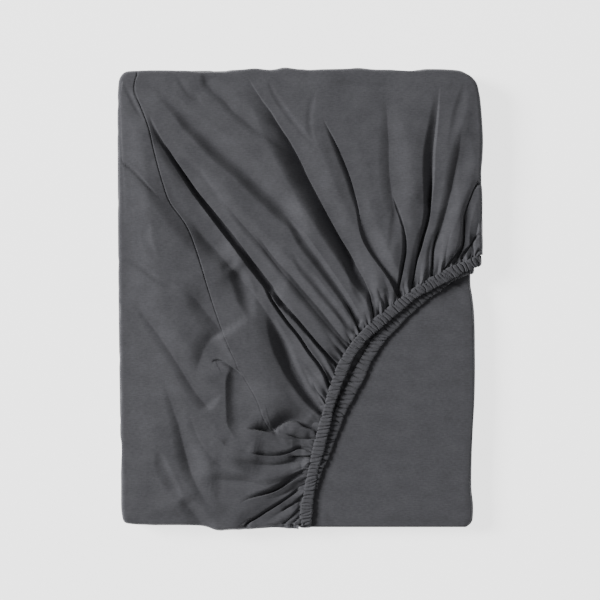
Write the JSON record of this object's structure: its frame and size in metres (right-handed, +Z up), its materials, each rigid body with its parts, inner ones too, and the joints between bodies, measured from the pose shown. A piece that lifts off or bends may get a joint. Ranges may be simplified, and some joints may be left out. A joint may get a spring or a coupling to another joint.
{
  "type": "folded fitted bed sheet",
  "caption": "Folded fitted bed sheet in plain dark grey cotton, a flat rectangular packet with gathered elastic corner pockets fanning across its top.",
  "frame": {"origin": "middle of the packet's box, on the surface that it lies on", "axes": "+X across the packet, towards the edge where its layers show; +Y along it, away from the end where the hem starts; +Z up, out of the gathered top"},
  "size_m": [0.291, 0.3678, 0.027],
  "materials": {
    "cotton": "matte fine woven cotton, dark grey, with a faint soft sheen on its folds"
  },
  "bodies": {
    "root": {"sheet": "cotton"}
  },
  "joints": []
}
